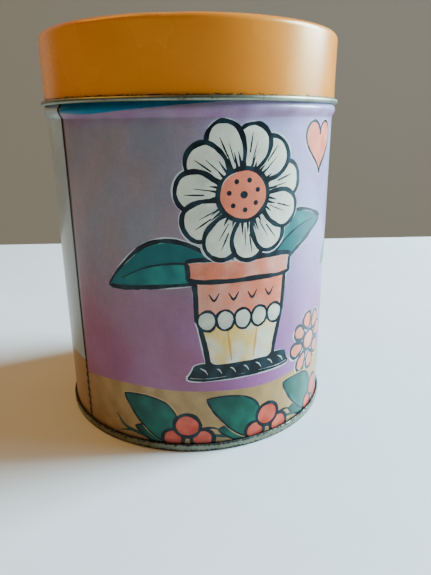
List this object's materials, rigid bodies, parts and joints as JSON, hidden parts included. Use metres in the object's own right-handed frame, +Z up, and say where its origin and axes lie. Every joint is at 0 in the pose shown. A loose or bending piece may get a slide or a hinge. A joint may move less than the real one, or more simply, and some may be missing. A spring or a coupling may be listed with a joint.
{
  "type": "bobbin box",
  "caption": "Round tinplate box with a slip-on lid, a stop bead under the lid and a double-seamed bottom, for bobbins and other small sewing notions.",
  "frame": {"origin": "centre of the box on the plane that its bottom seam stands on", "axes": "+Z up along the box's own axis, towards the lid; -Y is the front, and the side seam is on the -X, -Y side"},
  "size_m": [0.1034, 0.1034, 0.132],
  "materials": {
    "printed_tinplate": "printed and varnished, semi-gloss",
    "bare_tinplate": "bare tin, dull, lightly stained",
    "lacquered_tinplate": "orange lacquer, glossy"
  },
  "bodies": {
    "tin": {"body_shell": "printed_tinplate", "bottom_end": "bare_tinplate"},
    "lid": {"lid": "lacquered_tinplate"}
  },
  "joints": [
    {"name": "lid_lift", "type": "slide", "parent": "tin", "child": "lid", "axis": [0, 0, 1], "range_m": [0, 0.12]}
  ]
}
